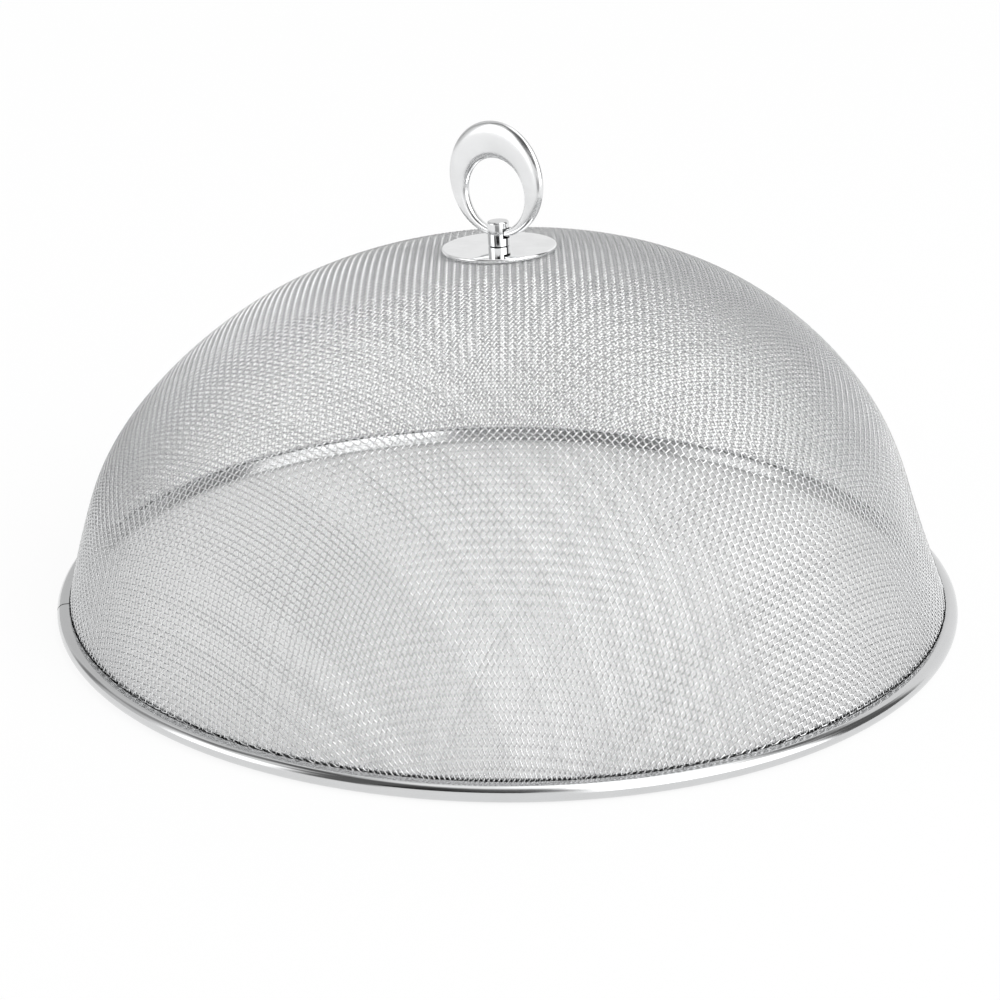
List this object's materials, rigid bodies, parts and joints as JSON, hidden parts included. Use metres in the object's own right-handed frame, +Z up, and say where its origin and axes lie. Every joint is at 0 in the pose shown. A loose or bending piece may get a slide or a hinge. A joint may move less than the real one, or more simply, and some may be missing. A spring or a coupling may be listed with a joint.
{
  "type": "mesh food cover",
  "caption": "Round domed cover of woven steel wire in a rolled steel rim, with a polished ring handle on a post.",
  "frame": {"origin": "middle of the rim's foot, on the surface that the cover stands on", "axes": "+Z up through the dome, -Y towards the camera of the picture, +X to its right"},
  "size_m": [0.35, 0.35, 0.1835],
  "materials": {
    "rim_steel": "rolled stainless strip, bright with fine lines along the roll",
    "wire_steel": "bright drawn stainless wire, plain weave",
    "chrome": "polished chrome plate",
    "plain_steel": "plain bright steel, turned and stamped"
  },
  "bodies": {
    "root": {"rim_band": "rim_steel", "mesh_dome": "wire_steel", "cover_plate": "chrome", "handle_post": "chrome", "handle_ring": "chrome", "inner_washer": "plain_steel", "spring_washer": "plain_steel", "hex_nut": "plain_steel"}
  },
  "joints": []
}
